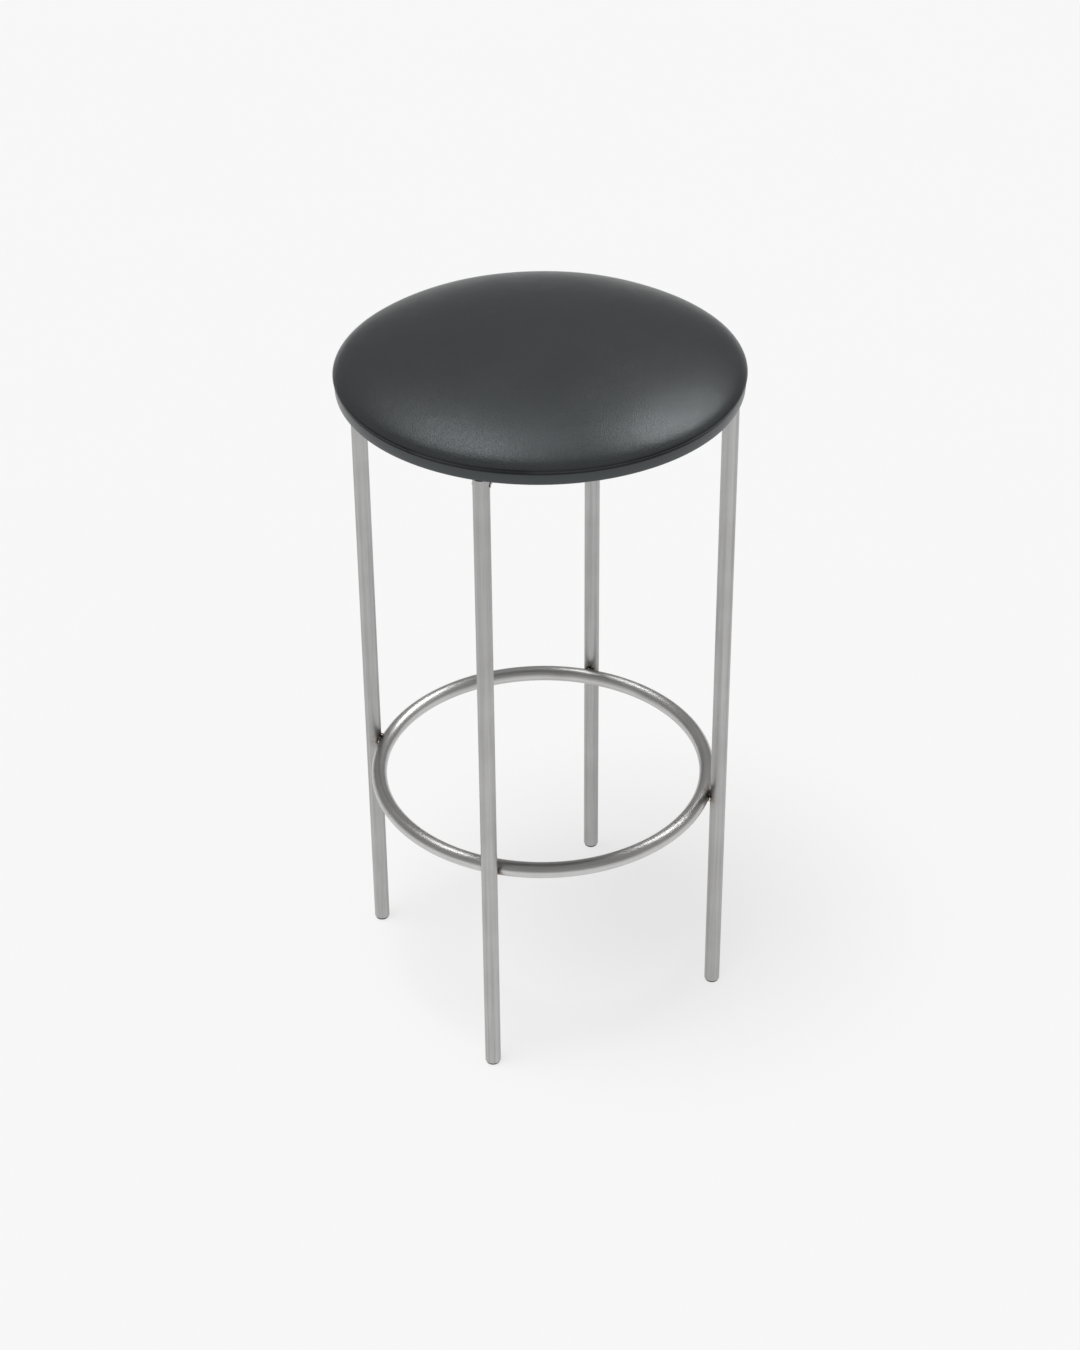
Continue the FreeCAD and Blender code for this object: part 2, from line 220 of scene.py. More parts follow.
def swollen_dome():
    """The dome as a closed cloth form, blown up under a light pressure, as a search tree."""
    profile = dome_profile(crown_height - SIM_SINK, SIM_ROWS)
    grid = pulled_in(turned_grid(profile, SIM_COLUMNS))
    rows = len(profile)
    vertices = np.concatenate([grid.reshape(-1, 3), [(0, 0, crown_height - SIM_SINK), (0, 0, crease_height)]])
    faces = grid_faces(rows, SIM_COLUMNS)
    faces += fan_faces(rows * SIM_COLUMNS, 0, SIM_COLUMNS)
    faces += fan_faces(rows * SIM_COLUMNS + 1, (rows - 1) * SIM_COLUMNS, SIM_COLUMNS, flip=True)
    form = new_object("cushion_form", vertices, faces)
    target = new_object("cushion_target", vertices, faces)

    remesh = form.modifiers.new("remesh", "REMESH")
    remesh.mode = "VOXEL"
    remesh.voxel_size = SIM_VOXEL
    wrap = form.modifiers.new("wrap", "SHRINKWRAP")
    wrap.target = target
    made = bpy.data.meshes.new_from_object(form.evaluated_get(bpy.context.evaluated_depsgraph_get()))
    form.modifiers.clear()
    form.data = made

    pins = form.vertex_groups.new(name="pins")
    low = [v.index for v in made.vertices if v.co.z < crease_height + SIM_PIN_HEIGHT]
    pins.add(low, 1.0, "REPLACE")
    cloth = form.modifiers.new("cloth", "CLOTH")
    cloth.settings.vertex_group_mass = "pins"
    cloth.settings.quality = 6
    cloth.settings.mass = 0.3
    cloth.settings.tension_stiffness = 25
    cloth.settings.compression_stiffness = 25
    cloth.settings.shear_stiffness = 8
    cloth.settings.bending_stiffness = 3
    cloth.settings.use_pressure = True
    cloth.settings.uniform_pressure_force = 4
    cloth.settings.effector_weights.gravity = 0
    scene = bpy.context.scene
    for step in range(1, SIM_FRAMES + 1):
        scene.frame_set(step)
    swollen = form.evaluated_get(bpy.context.evaluated_depsgraph_get())
    mesh = bpy.data.meshes.new_from_object(swollen)
    corners = [v.co.copy() for v in mesh.vertices]
    tree = BVHTree.FromPolygons(corners, [tuple(p.vertices) for p in mesh.polygons])
    scene.frame_set(1)
    for item in (form, target):
        bpy.data.objects.remove(item)
    return tree


def grid_normals(grid):
    """Outward normals of a turned grid whose rows run from the crown down."""
    along = np.gradient(grid, axis=0)
    around = np.roll(grid, -1, axis=1) - np.roll(grid, 1, axis=1)
    normal = np.cross(along, around)
    return normal / np.maximum(np.linalg.norm(normal, axis=-1, keepdims=True), SHORTEST_NORMAL)


def swell(grid, dome_rows):
    """Moves the dome's rows out to the simulated cushion, smoothly, and leaves the crease where it is."""
    tree = swollen_dome()
    normals = grid_normals(grid)
    reach = np.zeros(grid.shape[:2])
    for row in range(dome_rows):
        for column in range(grid.shape[1]):
            point, normal = Vector(grid[row, column]), Vector(normals[row, column])
            hit = tree.ray_cast(point + normal * RAY_START, -normal, RAY_LENGTH)[0]
            if hit is not None:
                reach[row, column] = (hit - point).dot(normal)
    waves = np.fft.rfft(np.clip(reach, -SIM_CAP, SIM_CAP), axis=1)
    waves[:, SWELL_WAVES:] = 0
    reach = np.fft.irfft(waves, n=reach.shape[1], axis=1)
    for _ in range(SWELL_SMOOTHING):
        padded = np.pad(reach, ((1, 1), (0, 0)), mode="edge")
        reach = (padded[:-2] + 2 * reach + padded[2:]) / 4
    centre = reach[:CENTRE_ROWS].mean()
    uneven = smoothstep(0, EVEN_ROWS, np.arange(grid.shape[0]))[:, None]
    reach = centre + (reach - centre) * uneven
    free = smoothstep(crease_height, crease_height + SWELL_FADE, grid[..., 2])
    return grid + normals * (reach * free)[..., None]


PLEAT_COUNT = 72
PLEAT_DEPTH = 0.5 * MM
PLEAT_WANDER = ((5, 2.4), (11, 1.3))          # waves round the seat that make the pleats uneven: count, size
PLEAT_FADE_INNER = (0.3 * MM, 3 * MM)         # outside the dust cloth, none yet and whole
PLEAT_FADE_OUTER = 2.5 * MM                   # inside the band, whole


def hem_pleats(grid, first_row):
    """Small folds where the round cover is gathered flat under the board."""
    angle = np.arctan2(grid[..., 1], grid[..., 0])
    radius = np.hypot(grid[..., 0], grid[..., 1])
    phase = PLEAT_COUNT * angle
    for count, size in PLEAT_WANDER:
        phase = phase + size * np.sin(count * angle)
    fold = (0.5 + 0.5 * np.sin(phase)) ** 2
    here = smoothstep(cloth_radius + PLEAT_FADE_INNER[0], cloth_radius + PLEAT_FADE_INNER[1], radius)
    here = here * smoothstep(band_radius, band_radius - PLEAT_FADE_OUTER, radius)
    rows = np.arange(grid.shape[0])[:, None] >= first_row
    moved = grid.copy()
    moved[..., 2] -= PLEAT_DEPTH * fold * here * rows
    return moved


def seat_cover_grid():
    """The outside of the leather, from the crown down over the crease and the band and in under the board."""
    dome = dome_profile(crown_height, CROWN_ROWS)
    t = np.linspace(0, 1, SHOULDER_ROWS)
    shoulder_end = crease_height - CREASE_DROP - SHOULDER
    shoulder_radii = band_radius - CREASE_DEPTH * (1 + np.cos(math.pi * t)) / 2
    shoulder = np.stack([shoulder_radii, crease_height - CREASE_DROP - SHOULDER * t], axis=1)
    foot = hem_height + BAND_ROUND
    heights = np.linspace(shoulder_end, foot, BAND_ROWS)
    swelling = BAND_SWELLING * np.sin(math.pi * (heights - foot) / (shoulder_end - foot))
    band = np.stack([band_radius + swelling, heights], axis=1)
    lower = conic((band_radius, foot), (band_radius, hem_height), (band_radius - BAND_ROUND, hem_height),
                  QUARTER_ELLIPSE, LOWER_EDGE_ROWS)
    hem_radii = np.linspace(band_radius - BAND_ROUND, band_radius - HEM_WIDTH, HEM_ROWS)
    hem = np.stack([hem_radii, 0 * hem_radii + hem_height], axis=1)
    profile = np.concatenate([dome, shoulder[1:], band[1:], lower[1:], hem[1:]])
    grid = pulled_in(turned_grid(profile, SEAT_SEGMENTS))
    grid = swell(grid, len(dome))
    hem_row = len(profile) - len(hem)
    return hem_pleats(grid, hem_row), len(dome)


def seat_cover(grid):
    rows = grid.shape[0]
    crown = (0, 0, grid[0, :, 2].mean())
    faces = grid_faces(rows, SEAT_SEGMENTS) + fan_faces(rows * SEAT_SEGMENTS, 0, SEAT_SEGMENTS)
    cover = new_object("seat_cover_leather", [*grid.reshape(-1, 3), crown], faces)
    shell = cover.modifiers.new("thickness", "SOLIDIFY")
    shell.thickness = LEATHER_THICKNESS * SHELL_SHARE
    shell.offset = -1
    shell.use_even_offset = False
    return cover


def seat_pad(grid, dome_rows):
    """The foam under the leather, which follows the swollen dome."""
    inner = grid[:dome_rows] - grid_normals(grid)[:dome_rows] * (LEATHER_THICKNESS + COVER_GAP)
    inner[..., 2] = np.maximum(inner[..., 2], crease_height + COVER_GAP)
    rows = dome_rows
    top, bottom = rows * SEAT_SEGMENTS, rows * SEAT_SEGMENTS + 1
    faces = grid_faces(rows, SEAT_SEGMENTS) + fan_faces(top, 0, SEAT_SEGMENTS)
    faces += fan_faces(bottom, (rows - 1) * SEAT_SEGMENTS, SEAT_SEGMENTS, flip=True)
    ends = [(0, 0, inner[0, :, 2].mean()), (0, 0, crease_height + COVER_GAP)]
    return new_object("seat_pad", [*inner.reshape(-1, 3), *ends], faces)


# Dust cloth

CLOTH_SAG = 1.6 * MM
CLOTH_THICKNESS = 0.45 * MM
CLOTH_LIFT = 0.1 * MM           # keeps the cloth clear of the bars
CLOTH_ROWS = 44
BAR_HOLD = (2 * MM, 38 * MM)    # from a bar's middle line, where the cloth begins to sag and sags in full
EDGE_HOLD = (5 * MM, 40 * MM)   # the same, in from the cloth's edge
SPOKE_RIPPLES = (0.22, 24, 9)   # size, count round the cloth, and how far they twist towards the edge
RING_RIPPLES = (0.12, 9 * MM)   # size and length


def cloth_ripples(radius, angle):
    size, count, twist = SPOKE_RIPPLES
    spokes = size * np.sin(count * angle + twist * radius / cloth_radius)
    ring_size, length = RING_RIPPLES
    return 1 + spokes + ring_size * np.sin(radius / length)


def dust_cloth():
    """A round of cloth, held up by its staples and by the bars, that sags a little in between."""
    radii = np.linspace(cloth_radius / CLOTH_ROWS, cloth_radius, CLOTH_ROWS)
    grid = turned_grid(np.stack([radii, 0 * radii + cloth_high.z - CLOTH_THICKNESS], axis=1), SEAT_SEGMENTS)
    x, y = grid[..., 0], grid[..., 1]
    to_bar = np.minimum(np.abs(x - y), np.abs(x + y)) / math.sqrt(2)
    radius, angle = np.hypot(x, y), np.arctan2(y, x)
    from_bar = smoothstep(*BAR_HOLD, to_bar)
    free = from_bar * smoothstep(cloth_radius - EDGE_HOLD[0], cloth_radius - EDGE_HOLD[1], radius)
    grid[..., 2] -= CLOTH_SAG * free * cloth_ripples(radius, angle)
    grid[..., 2] += CLOTH_LIFT
    rows = grid.shape[0]
    centre = (0, 0, grid[0, :, 2].mean())
    faces = grid_faces(rows, SEAT_SEGMENTS) + fan_faces(rows * SEAT_SEGMENTS, 0, SEAT_SEGMENTS)
    cloth = new_object("dust_cloth_sheet", [*grid.reshape(-1, 3), centre], faces)
    shell = cloth.modifiers.new("thickness", "SOLIDIFY")
    shell.thickness = CLOTH_THICKNESS
    shell.offset = -1
    return cloth


# Weld beads

BEAD_SIDES = 14
RIPPLE_LENGTH = 1.25 * MM
RIPPLE_DEPTH = 0.13
RIPPLE_LEVEL = 0.6              # of a ripple's height, where the bead has its own radius
RIPPLE_LEAN = 0.55
STEPS_PER_RIPPLE = 7
BEAD_WANDER = ((0.05, 3.1 * MM, 0), (0.03, 1.7 * MM, 1))     # of a bead's size: share, length, start
END_SHARE = 0.04                # of its radius that a bead keeps at its very end


def bead_scale(radius, travel, length, closed):
    """How thick a bead is at a distance along it, as a share of its radius and without its ripples."""
    wander = 1.0
    for share, reach, start in BEAD_WANDER:
        wander += share * math.sin(travel / reach + start)
    if closed:
        return wander
    from_end = min(travel, length - travel) / radius
    rounded = math.sqrt(max(0.0, 1 - max(0.0, 1 - from_end) ** 2))
    return wander * (rounded * (1 - END_SHARE) + END_SHARE)


def bead(points, radius, normals, closed):
    """A weld bead along the points: a run of overlapping ripples, leaning back as a puddle freezes."""
    count = len(points)
    if closed:
        ends = np.roll(points, -1, axis=0) - np.roll(points, 1, axis=0)
    else:
        ends = np.gradient(points, axis=0)
    tangents = ends / np.linalg.norm(ends, axis=1, keepdims=True)
    side = np.cross(tangents, normals)
    side /= np.linalg.norm(side, axis=1, keepdims=True)
    up = np.cross(side, tangents)
    steps = np.linalg.norm(np.diff(points, axis=0, append=points[:1] if closed else points[-1:]), axis=1)
    travel = np.concatenate([[0], np.cumsum(steps)[:-1]])
    length = steps.sum()
    pitch = length / max(1, round(length / RIPPLE_LENGTH))
    around = np.linspace(0, 2 * math.pi, BEAD_SIDES, endpoint=False)
    rows = []
    for i in range(count):
        phase = travel[i] / pitch - RIPPLE_LEAN * np.abs(np.sin(around / 2))
        ripple = 1 + RIPPLE_DEPTH * (np.abs(np.sin(math.pi * phase)) - RIPPLE_LEVEL)
        size = radius * ripple * bead_scale(radius, travel[i], length, closed)
        outward = np.cos(around)[:, None] * side[i] + np.sin(around)[:, None] * up[i]
        rows.append(points[i] + size[:, None] * outward)
    grid = np.stack(rows)
    vertices = list(grid.reshape(-1, 3))
    faces = [tuple(reversed(f)) for f in grid_faces(count, BEAD_SIDES, closed)]
    if not closed:
        vertices += [points[0], points[-1]]
        faces += fan_faces(count * BEAD_SIDES, 0, BEAD_SIDES)
        faces += fan_faces(count * BEAD_SIDES + 1, (count - 1) * BEAD_SIDES, BEAD_SIDES, flip=True)
    return vertices, faces


def spin(points, angle):
    """Points turned about the stool's axis, by an angle in radians."""
    turn = np.array(Matrix.Rotation(angle, 3, "Z"))
    return np.asarray(points) @ turn.T


def repeated(name, made, angles):
    """One object out of the same bead in several directions round the stool."""
    bead_vertices, bead_faces = made
    vertices, faces = [], []
    for angle in angles:
        start = len(vertices)
        vertices += list(spin(bead_vertices, angle))
        faces += [tuple(index + start for index in face) for face in bead_faces]
    return new_object(name, vertices, faces)


RING_WELD_SPREAD = 5.0 * MM
RING_WELD_RADIUS = 1.3 * MM


def ring_leg_bead():
    """The closed bead round the place where the ring touches a leg, for a leg in direction 0."""
    count = int(2 * math.pi * RING_WELD_SPREAD / RIPPLE_LENGTH) * STEPS_PER_RIPPLE
    turn = np.linspace(0, 2 * math.pi, count, endpoint=False)
    across, up = RING_WELD_SPREAD * np.cos(turn), RING_WELD_SPREAD * np.sin(turn)
    leg_face = leg_circle - np.sqrt(tube_radius ** 2 - across ** 2)
    ring_face = ring_radius + np.sqrt(tube_radius ** 2 - up ** 2) - across ** 2 / 2 / ring_radius
    points = np.stack([(leg_face + ring_face) / 2, across, ring_height + up], axis=1)
    normals = np.stack([0 * turn, np.cos(turn), np.sin(turn)], axis=1)
    return bead(points, RING_WELD_RADIUS, normals, closed=True)


BAR_WELD_RADIUS = 1.5 * MM
BAR_WELD_START = math.radians(38)
BAR_WELD_SINK = 0.35            # of its radius that the bead lies below the line where the tubes meet
COPE_STRETCH = 1.2              # that line's length, in turns round the tube


def coped_bead(reach, flat):
    """The bead where a bar in direction 0 meets a tube of its own size: a leg, or the long bar if flat."""
    count = int(2 * math.pi * tube_radius * COPE_STRETCH / RIPPLE_LENGTH) * STEPS_PER_RIPPLE
    turn = np.linspace(BAR_WELD_START, 2 * math.pi - BAR_WELD_START, count)
    across, up = np.sin(turn), np.cos(turn)
    along = np.abs(across) if flat else -np.abs(up)
    heights = bar_height + tube_radius * up
    points = np.stack([reach + tube_radius * along, tube_radius * across, heights], axis=1)
    bar_normal = np.stack([0 * turn, across, up], axis=1)
    tube_normal = np.stack([along, 0 * turn, up] if flat else [along, across, 0 * turn], axis=1)
    normals = bar_normal + tube_normal
    normals /= np.linalg.norm(normals, axis=1, keepdims=True)
    return bead(points - normals * BAR_WELD_SINK * BAR_WELD_RADIUS, BAR_WELD_RADIUS, normals, closed=False)


def weld_beads():
    short_bars = [direction(node) for node in ("cross_bar_front_left", "cross_bar_back_right")]
    return (repeated("ring_weld_beads", ring_leg_bead(), LEG_ANGLES),
            repeated("bar_leg_beads", coped_bead(leg_circle, False), LEG_ANGLES),
            repeated("bar_centre_beads", coped_bead(0, True), short_bars))


# Materials

class Surface:
    """A node material with one Principled shader, and short ways to add nodes to it."""

    def __init__(self, name, **settings):
        self.material = bpy.data.materials.new(name)
        self.material.use_nodes = True
        self.tree = self.material.node_tree
        self.tree.nodes.clear()
        output = self.tree.nodes.new("ShaderNodeOutputMaterial")
        self.shader = self.add("BsdfPrincipled", **{k.replace("_", " "): v for k, v in settings.items()})
        self.tree.links.new(self.shader.outputs[0], output.inputs["Surface"])
        self.place = self.add("TexCoord").outputs["Object"]

    def add(self, kind, options=None, **inputs):
        """A node of one kind. An input is named, or given by its number after the letter i."""
        made = self.tree.nodes.new("ShaderNode" + kind)
        for option, value in (options or {}).items():
            setattr(made, option, value)
        for socket, value in inputs.items():
            numbered = socket[0] == "i" and socket[1:].isdigit()
            self.put(made.inputs[int(socket[1:]) if numbered else socket], value)
        return made

    def put(self, socket, value):
        if isinstance(value, bpy.types.NodeSocket):
            self.tree.links.new(value, socket)
        else:
            socket.default_value = value

    def math(self, operation, a, b=0.0):
        return self.add("Math", {"operation": operation}, i0=a, i1=b).outputs[0]

    def vector(self, operation, a, b=(0, 0, 0)):
        made = self.add("VectorMath", {"operation": operation}, i0=a, i1=b)
        return made.outputs["Value" if operation in ("LENGTH", "DISTANCE") else "Vector"]

    def noise(self, where, scale, detail=3.0, roughness=0.5, distortion=0.0):
        return self.add("TexNoise", Vector=where, Scale=scale, Detail=detail, Roughness=roughness,
                        Distortion=distortion).outputs["Fac"]

    def stretch(self, where, scale, turn=(0, 0, 0)):
        """The place, turned and then scaled differently along each axis."""
        turned_place = self.add("Mapping", {"vector_type": "TEXTURE"}, Vector=where, Rotation=turn).outputs[0]
        return self.vector("MULTIPLY", turned_place, scale)

    def remap(self, value, low, high, to_low, to_high):
        made = self.add("MapRange", {"interpolation_type": "SMOOTHSTEP"})
        for index, given in enumerate((value, low, high, to_low, to_high)):
            self.put(made.inputs[index], given)
        return made.outputs[0]

    def mix(self, factor, a, b):
        made = self.add("Mix", {"data_type": "RGBA"})
        for index, given in ((0, factor), (6, a), (7, b)):
            self.put(made.inputs[index], given)
        return made.outputs[2]

    def bump(self, height, distance, strength=1.0, normal=None):
        made = self.add("Bump", Height=height, Distance=distance, Strength=strength)
        if normal is not None:
            self.put(made.inputs["Normal"], normal)
        return made.outputs[0]

    def set(self, **inputs):
        for socket, value in inputs.items():
            self.put(self.shader.inputs[socket.replace("_", " ")], value)


def grey(value, warmth=0.0):
    return (value * (1 + warmth), value, value * (1 - warmth), 1)


LEATHER_DARK = (0.0154, 0.0177, 0.0194, 1)
LEATHER_LIGHT = (0.0228, 0.0254, 0.0272, 1)
GROOVE_DARK = grey(0.010, -0.06)
# The colour of the painted shade in the fold between cushion and band
CREASE_SHADE_COLOUR = grey(0.004, -0.04)
LEATHER_ROUGHNESS = (0.285, 0.33)
# Grain of the leather, in features per metre, from the finest to the broadest
PORES = 2200
GRAIN_CELLS = 560
PEBBLES = 300
SLACK_WAVES = 26
DYE_CLOUDS = 11
GRAIN_DEPTH = 0.05 * MM
SLACK_DEPTH = 0.8 * MM
# The painted shade in the fold: its middle above the board's top, and how far off it is whole and gone
CREASE_SHADE_RISE = 0.7 * MM
CREASE_SHADE_REACH = (1.3 * MM, 3.2 * MM)


def leather():
    made = Surface("black_leather", Coat_Weight=0.04, Coat_Roughness=0.30, Specular_Tint=(0.90, 0.97, 1.0, 1))
    drawn = made.stretch(made.place, (1, 1.7, 1), (0, 0, 0.35))
    cells = made.add("TexVoronoi", {"feature": "DISTANCE_TO_EDGE"}, Vector=drawn, Scale=GRAIN_CELLS)
    grain = made.remap(cells.outputs["Distance"], 0.0, 0.28, 0.0, 1.0)
    fine = made.noise(made.place, PORES, 2)
    patches = made.noise(made.place, DYE_CLOUDS, 4, 0.55)
    slack = made.noise(made.place, SLACK_WAVES, 2)
    pebble = made.noise(made.stretch(made.place, (1, 2.2, 1), (0, 0, 0.6)), PEBBLES, 2)
    small = made.math("ADD", made.math("MULTIPLY", fine, 0.5), made.math("MULTIPLY", pebble, 2))
    height = made.math("ADD", grain, small)
    dye = made.mix(patches, LEATHER_DARK, LEATHER_LIGHT)
    colour = made.mix(made.remap(grain, 0.0, 0.6, 0.3, 0.0), dye, GROOVE_DARK)
    # Painted shade in the fold between cushion and band: the colour is darkened there and its reflection
    # turned down
    shade = crease_shade(made)
    folded = made.mix(made.math("MULTIPLY", shade, 0.7), colour, CREASE_SHADE_COLOUR)
    waves = made.bump(slack, SLACK_DEPTH, 0.4)
    made.set(Base_Color=folded, Roughness=made.remap(patches, 0.3, 0.7, *LEATHER_ROUGHNESS),
             Specular_IOR_Level=made.remap(shade, 0, 1, 0.75, 0.3),
             Normal=made.bump(height, GRAIN_DEPTH, 0.8, waves))
    return made.material


def crease_shade(made):
    """How much painted shade the fold gets: from 1 down in the fold between cushion and band to 0 a few
    millimetres off, uneven round the seat.
    """
    height = made.add("SeparateXYZ", Vector=made.place).outputs[2]
    away = made.math("ABSOLUTE", made.math("SUBTRACT", height, crease_height + CREASE_SHADE_RISE))
    wander = made.remap(made.noise(made.place, 14, 2), 0.35, 0.65, 0.55, 1.0)
    return made.math("MULTIPLY", made.remap(away, *CREASE_SHADE_REACH, 1, 0), wander)


# Brushed steel
BRUSH_LINES = 1900              # per metre, across the tube
BRUSH_LENGTH = 16               # per metre, along it
HEAT_TAN = (0.22, 0.145, 0.085, 1)
# The black of the painted shade where the ring meets a leg
JOINT_SHADE_BLACK = (0.016, 0.014, 0.012, 1)
# How light the steel is, its lowest and highest roughness, its highlight's turn and its lines' depth
FRAME_FINISH = (0.44, 0.32, 0.46, 0, 0.006 * MM)
RING_FINISH = (0.60, 0.285, 0.31, 0.25, 0.001 * MM)


def brushed_steel(name, grain, finish, normal=None):
    """Stainless tube. The grain function gives a place that changes fast across the brush lines."""
    base, smooth, rough, rotation, depth = finish
    made = Surface(name, Metallic=1.0, Anisotropic=0.85, Anisotropic_Rotation=rotation)
    lines = grain(made)
    fine = made.noise(lines, 1.0, 4, 0.62)
    bands = made.noise(lines, 0.14, 2)
    broad = made.noise(made.place, 21, 3)
    patchy = made.math("ADD", made.math("MULTIPLY", bands, 0.4), made.math("MULTIPLY", broad, 0.2))
    tone = made.math("ADD", made.math("MULTIPLY", fine, 0.4), patchy)
    steel = made.mix(made.remap(tone, 0.34, 0.66, 0, 1), grey(base * 0.80, 0.012), grey(base * 1.16, 0.004))
    tint, soot_and_joint_shade = weld_tint_and_joint_shade(made)
    tanned = made.mix(made.math("MULTIPLY", tint, 0.7), steel, HEAT_TAN)
    # Painted shade: the steel goes black beside the ring's welds, where ring and leg meet
    colour = made.mix(soot_and_joint_shade, tanned, JOINT_SHADE_BLACK)
    roughness = made.remap(made.math("ADD", fine, made.math("MULTIPLY", tint, 0.5)), 0.25, 0.9, smooth, rough)
    made.set(Base_Color=colour, Roughness=roughness)
    made.set(Normal=made.bump(fine, depth, 0.6, normal(made) if normal else None))
    return made.material


BEAD_EDGE = 5.5 * MM            # from the middle of a ring weld to where its heat tint and painted shade begin to fade
JOINT_SHADE_REACH = 8.5 * MM
HEAT_REACH = 15 * MM


def weld_tint_and_joint_shade(made):
    """The tan heat tint round the ring's welds, and the black painted shade where ring and leg meet, from 1
    beside a weld to 0 further off.
    """
    folded = made.vector("ABSOLUTE", made.place)
    contact = (leg_circle - tube_radius) * math.sqrt(0.5)
    away = made.vector("DISTANCE", folded, (contact, contact, ring_height))
    wiped = made.remap(made.noise(made.place, 240, 3), 0.35, 0.65, 0.35, 1.0)
    tint = made.math("MULTIPLY", made.remap(away, BEAD_EDGE, HEAT_REACH, 1, 0), wiped)
    soot_and_joint_shade = made.math("MULTIPLY", made.remap(away, BEAD_EDGE, JOINT_SHADE_REACH, 1, 0), wiped)
    return tint, soot_and_joint_shade


def upright_grain(made):
    return made.stretch(made.place, (BRUSH_LINES, BRUSH_LINES, BRUSH_LENGTH))


def bar_grain(turn):
    return lambda made: made.stretch(made.place, (BRUSH_LENGTH, BRUSH_LINES, BRUSH_LINES), (0, 0, turn))


def ring_grain(made):
    """Follows the ring round: the place's direction changes slowly, its radius and height fast."""
    x, y, z = made.add("SeparateXYZ", Vector=made.place).outputs
    radius = made.vector("LENGTH", made.add("CombineXYZ", X=x, Y=y).outputs[0])
    angle = made.math("ARCTAN2", y, x)
    across = made.math("MULTIPLY", radius, BRUSH_LINES)
    up = made.math("MULTIPLY", z, BRUSH_LINES)
    along = made.math("MULTIPLY", angle, BRUSH_LENGTH * ring_radius)
    return made.add("CombineXYZ", X=across, Y=up, Z=along).outputs[0]


def ring_normal(made):
    """The normal of a perfect ring, in place of the one that the mesh's facets give."""
    x, y, _ = made.add("SeparateXYZ", Vector=made.place).outputs
    outward = made.vector("NORMALIZE", made.add("CombineXYZ", X=x, Y=y).outputs[0])
    middle_line = made.vector("MULTIPLY", outward, (ring_radius, ring_radius, 0))
    from_height = made.vector("SUBTRACT", made.place, (0, 0, ring_height))
    return made.vector("NORMALIZE", made.vector("SUBTRACT", from_height, middle_line))


def weld_steel():
    made = Surface("weld_steel", Metallic=1.0)
    # Dark soot in random patches on the bead itself
    soot_and_joint_shade = made.noise(made.place, 420, 4, 0.6)
    silver = made.noise(made.place, 900, 2)
    colour = made.mix(made.remap(soot_and_joint_shade, 0.42, 0.56, 0, 1), grey(0.72, 0.02), (0.035, 0.028, 0.022, 1))
    made.set(Base_Color=colour, Roughness=made.remap(silver, 0.3, 0.7, 0.12, 0.26),
             Normal=made.bump(silver, 0.05 * MM, 0.5))
    return made.material


def plated(name, base, rough, warmth=0.0):
    """Zinc-plated or galvanised steel."""
    made = Surface(name, Metallic=1.0)
    spangle = made.noise(made.place, 700, 3)
    dull = made.noise(made.place, 90, 3)
    made.set(Base_Color=made.mix(dull, grey(base * 0.8, warmth), grey(base, warmth)),
             Roughness=made.remap(spangle, 0.3, 0.7, rough * 0.75, rough * 1.25),
             Normal=made.bump(spangle, 0.03 * MM, 0.4))
    return made.material


def glide_plastic():
    made = Surface("glide_plastic", Roughness=0.45)
    spark = made.noise(made.place, 1500, 2)
    scuffs = made.noise(made.stretch(made.place, (260, 90, 900)), 1.0, 4)
    colour = made.mix(made.remap(scuffs, 0.45, 0.7, 0, 0.6), (0.032, 0.040, 0.050, 1), (0.09, 0.10, 0.115, 1))
    made.set(Base_Color=colour, Roughness=made.remap(scuffs, 0.3, 0.7, 0.38, 0.6),
             Normal=made.bump(spark, 0.03 * MM, 0.5))
    return made.material


PLY = 1.5 * MM                  # thickness of one layer


def plywood():
    made = Surface("plywood", Roughness=0.6)
    height = made.add("SeparateXYZ", Vector=made.place).outputs[2]
    layer = made.math("MULTIPLY", height, 1 / PLY)
    alternate = made.math("PINGPONG", layer, 1.0)
    rings = made.noise(made.stretch(made.place, (9, 160, 60)), 1.0, 6, 0.6, 0.8)
    fibre = made.noise(made.stretch(made.place, (60, 1600, 900)), 1.0, 3)
    pale = made.mix(rings, (0.62, 0.45, 0.27, 1), (0.47, 0.31, 0.17, 1))
    colour = made.mix(made.remap(alternate, 0.45, 0.55, 0.0, 0.55), pale, (0.30, 0.19, 0.10, 1))
    made.set(Base_Color=colour, Normal=made.bump(fibre, 0.08 * MM, 0.6))
    return made.material


PRESSED_DOTS = 760              # per metre


def dust_cloth_material():
    made = Surface("black_nonwoven", Roughness=0.85, Sheen_Weight=0.15, Sheen_Roughness=0.5)
    dots = made.add("TexVoronoi", {"feature": "F1"}, Vector=made.place, Scale=PRESSED_DOTS, Randomness=0.25)
    fibres = made.noise(made.stretch(made.place, (900, 260, 500), (0, 0, 0.6)), 1.0, 4, 0.7, 1.5)
    press = made.remap(dots.outputs["Distance"], 0.12, 0.34, 0, 1)
    colour = made.mix(fibres, grey(0.010), grey(0.032))
    height = made.math("ADD", press, made.math("MULTIPLY", fibres, 0.8))
    made.set(Base_Color=colour, Normal=made.bump(height, 0.10 * MM, 0.8))
    return made.material


def foam_material():
    made = Surface("pad_foam", Roughness=0.9, Subsurface_Weight=0.1)
    pores = made.add("TexVoronoi", {"feature": "F1"}, Vector=made.place, Scale=900.0).outputs["Distance"]
    clouds = made.noise(made.place, 30, 3)
    made.set(Base_Color=made.mix(clouds, (0.72, 0.66, 0.48, 1), (0.82, 0.78, 0.62, 1)),
             Normal=made.bump(pores, 0.25 * MM, 0.8))
    return made.material


# Dress the CAD's own nodes

def dress(material, *names):
    for name in names:
        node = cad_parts[name]
        if not node.material_slots:
            node.data.materials.append(material)
        for slot in node.material_slots:
            slot.material = material


